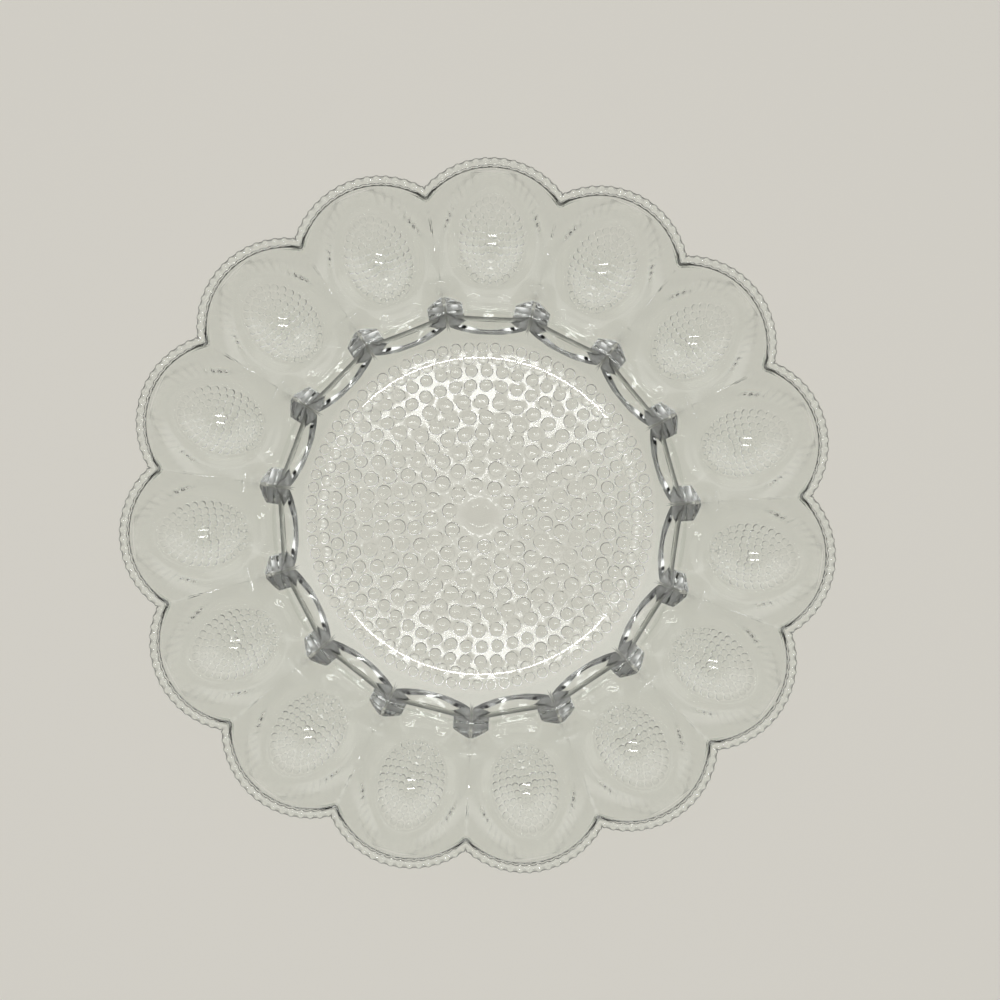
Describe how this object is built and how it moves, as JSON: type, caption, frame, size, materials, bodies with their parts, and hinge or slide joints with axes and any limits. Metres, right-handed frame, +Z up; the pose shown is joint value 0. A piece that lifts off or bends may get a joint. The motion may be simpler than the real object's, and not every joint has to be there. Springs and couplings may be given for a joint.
{
  "type": "deviled egg platter",
  "caption": "Round clear pressed glass platter with a ring of egg wells round a shallow hobnailed dish and a beaded, scalloped rim.",
  "frame": {"origin": "centre of the plane that the platter stands on", "axes": "+Z up out of the dish, +Y through the middle of well 1, +X a quarter turn clockwise from it seen from above"},
  "size_m": [0.2788, 0.2776, 0.025],
  "materials": {
    "clear_glass": "clear, fire-polished",
    "bead_glass": "clear, fire-polished beads",
    "hobnail_glass": "clear, pressed hobnails"
  },
  "bodies": {
    "root": {"centre_floor": "clear_glass", "centre_hobnails": "hobnail_glass", "gallery_ring": "clear_glass", "egg_cup_01": "clear_glass", "egg_cup_02": "clear_glass", "egg_cup_03": "clear_glass", "egg_cup_04": "clear_glass", "egg_cup_05": "clear_glass", "egg_cup_06": "clear_glass", "egg_cup_07": "clear_glass", "egg_cup_08": "clear_glass", "egg_cup_09": "clear_glass", "egg_cup_10": "clear_glass", "egg_cup_11": "clear_glass", "egg_cup_12": "clear_glass", "egg_cup_13": "clear_glass", "egg_cup_14": "clear_glass", "egg_cup_15": "clear_glass", "rim_bead_01": "bead_glass", "rim_bead_02": "bead_glass", "rim_bead_03": "bead_glass", "rim_bead_04": "bead_glass", "rim_bead_05": "bead_glass", "rim_bead_06": "bead_glass", "rim_bead_07": "bead_glass", "rim_bead_08": "bead_glass", "rim_bead_09": "bead_glass", "rim_bead_10": "bead_glass", "rim_bead_11": "bead_glass", "rim_bead_12": "bead_glass", "rim_bead_13": "bead_glass", "rim_bead_14": "bead_glass", "rim_bead_15": "bead_glass"}
  },
  "joints": []
}
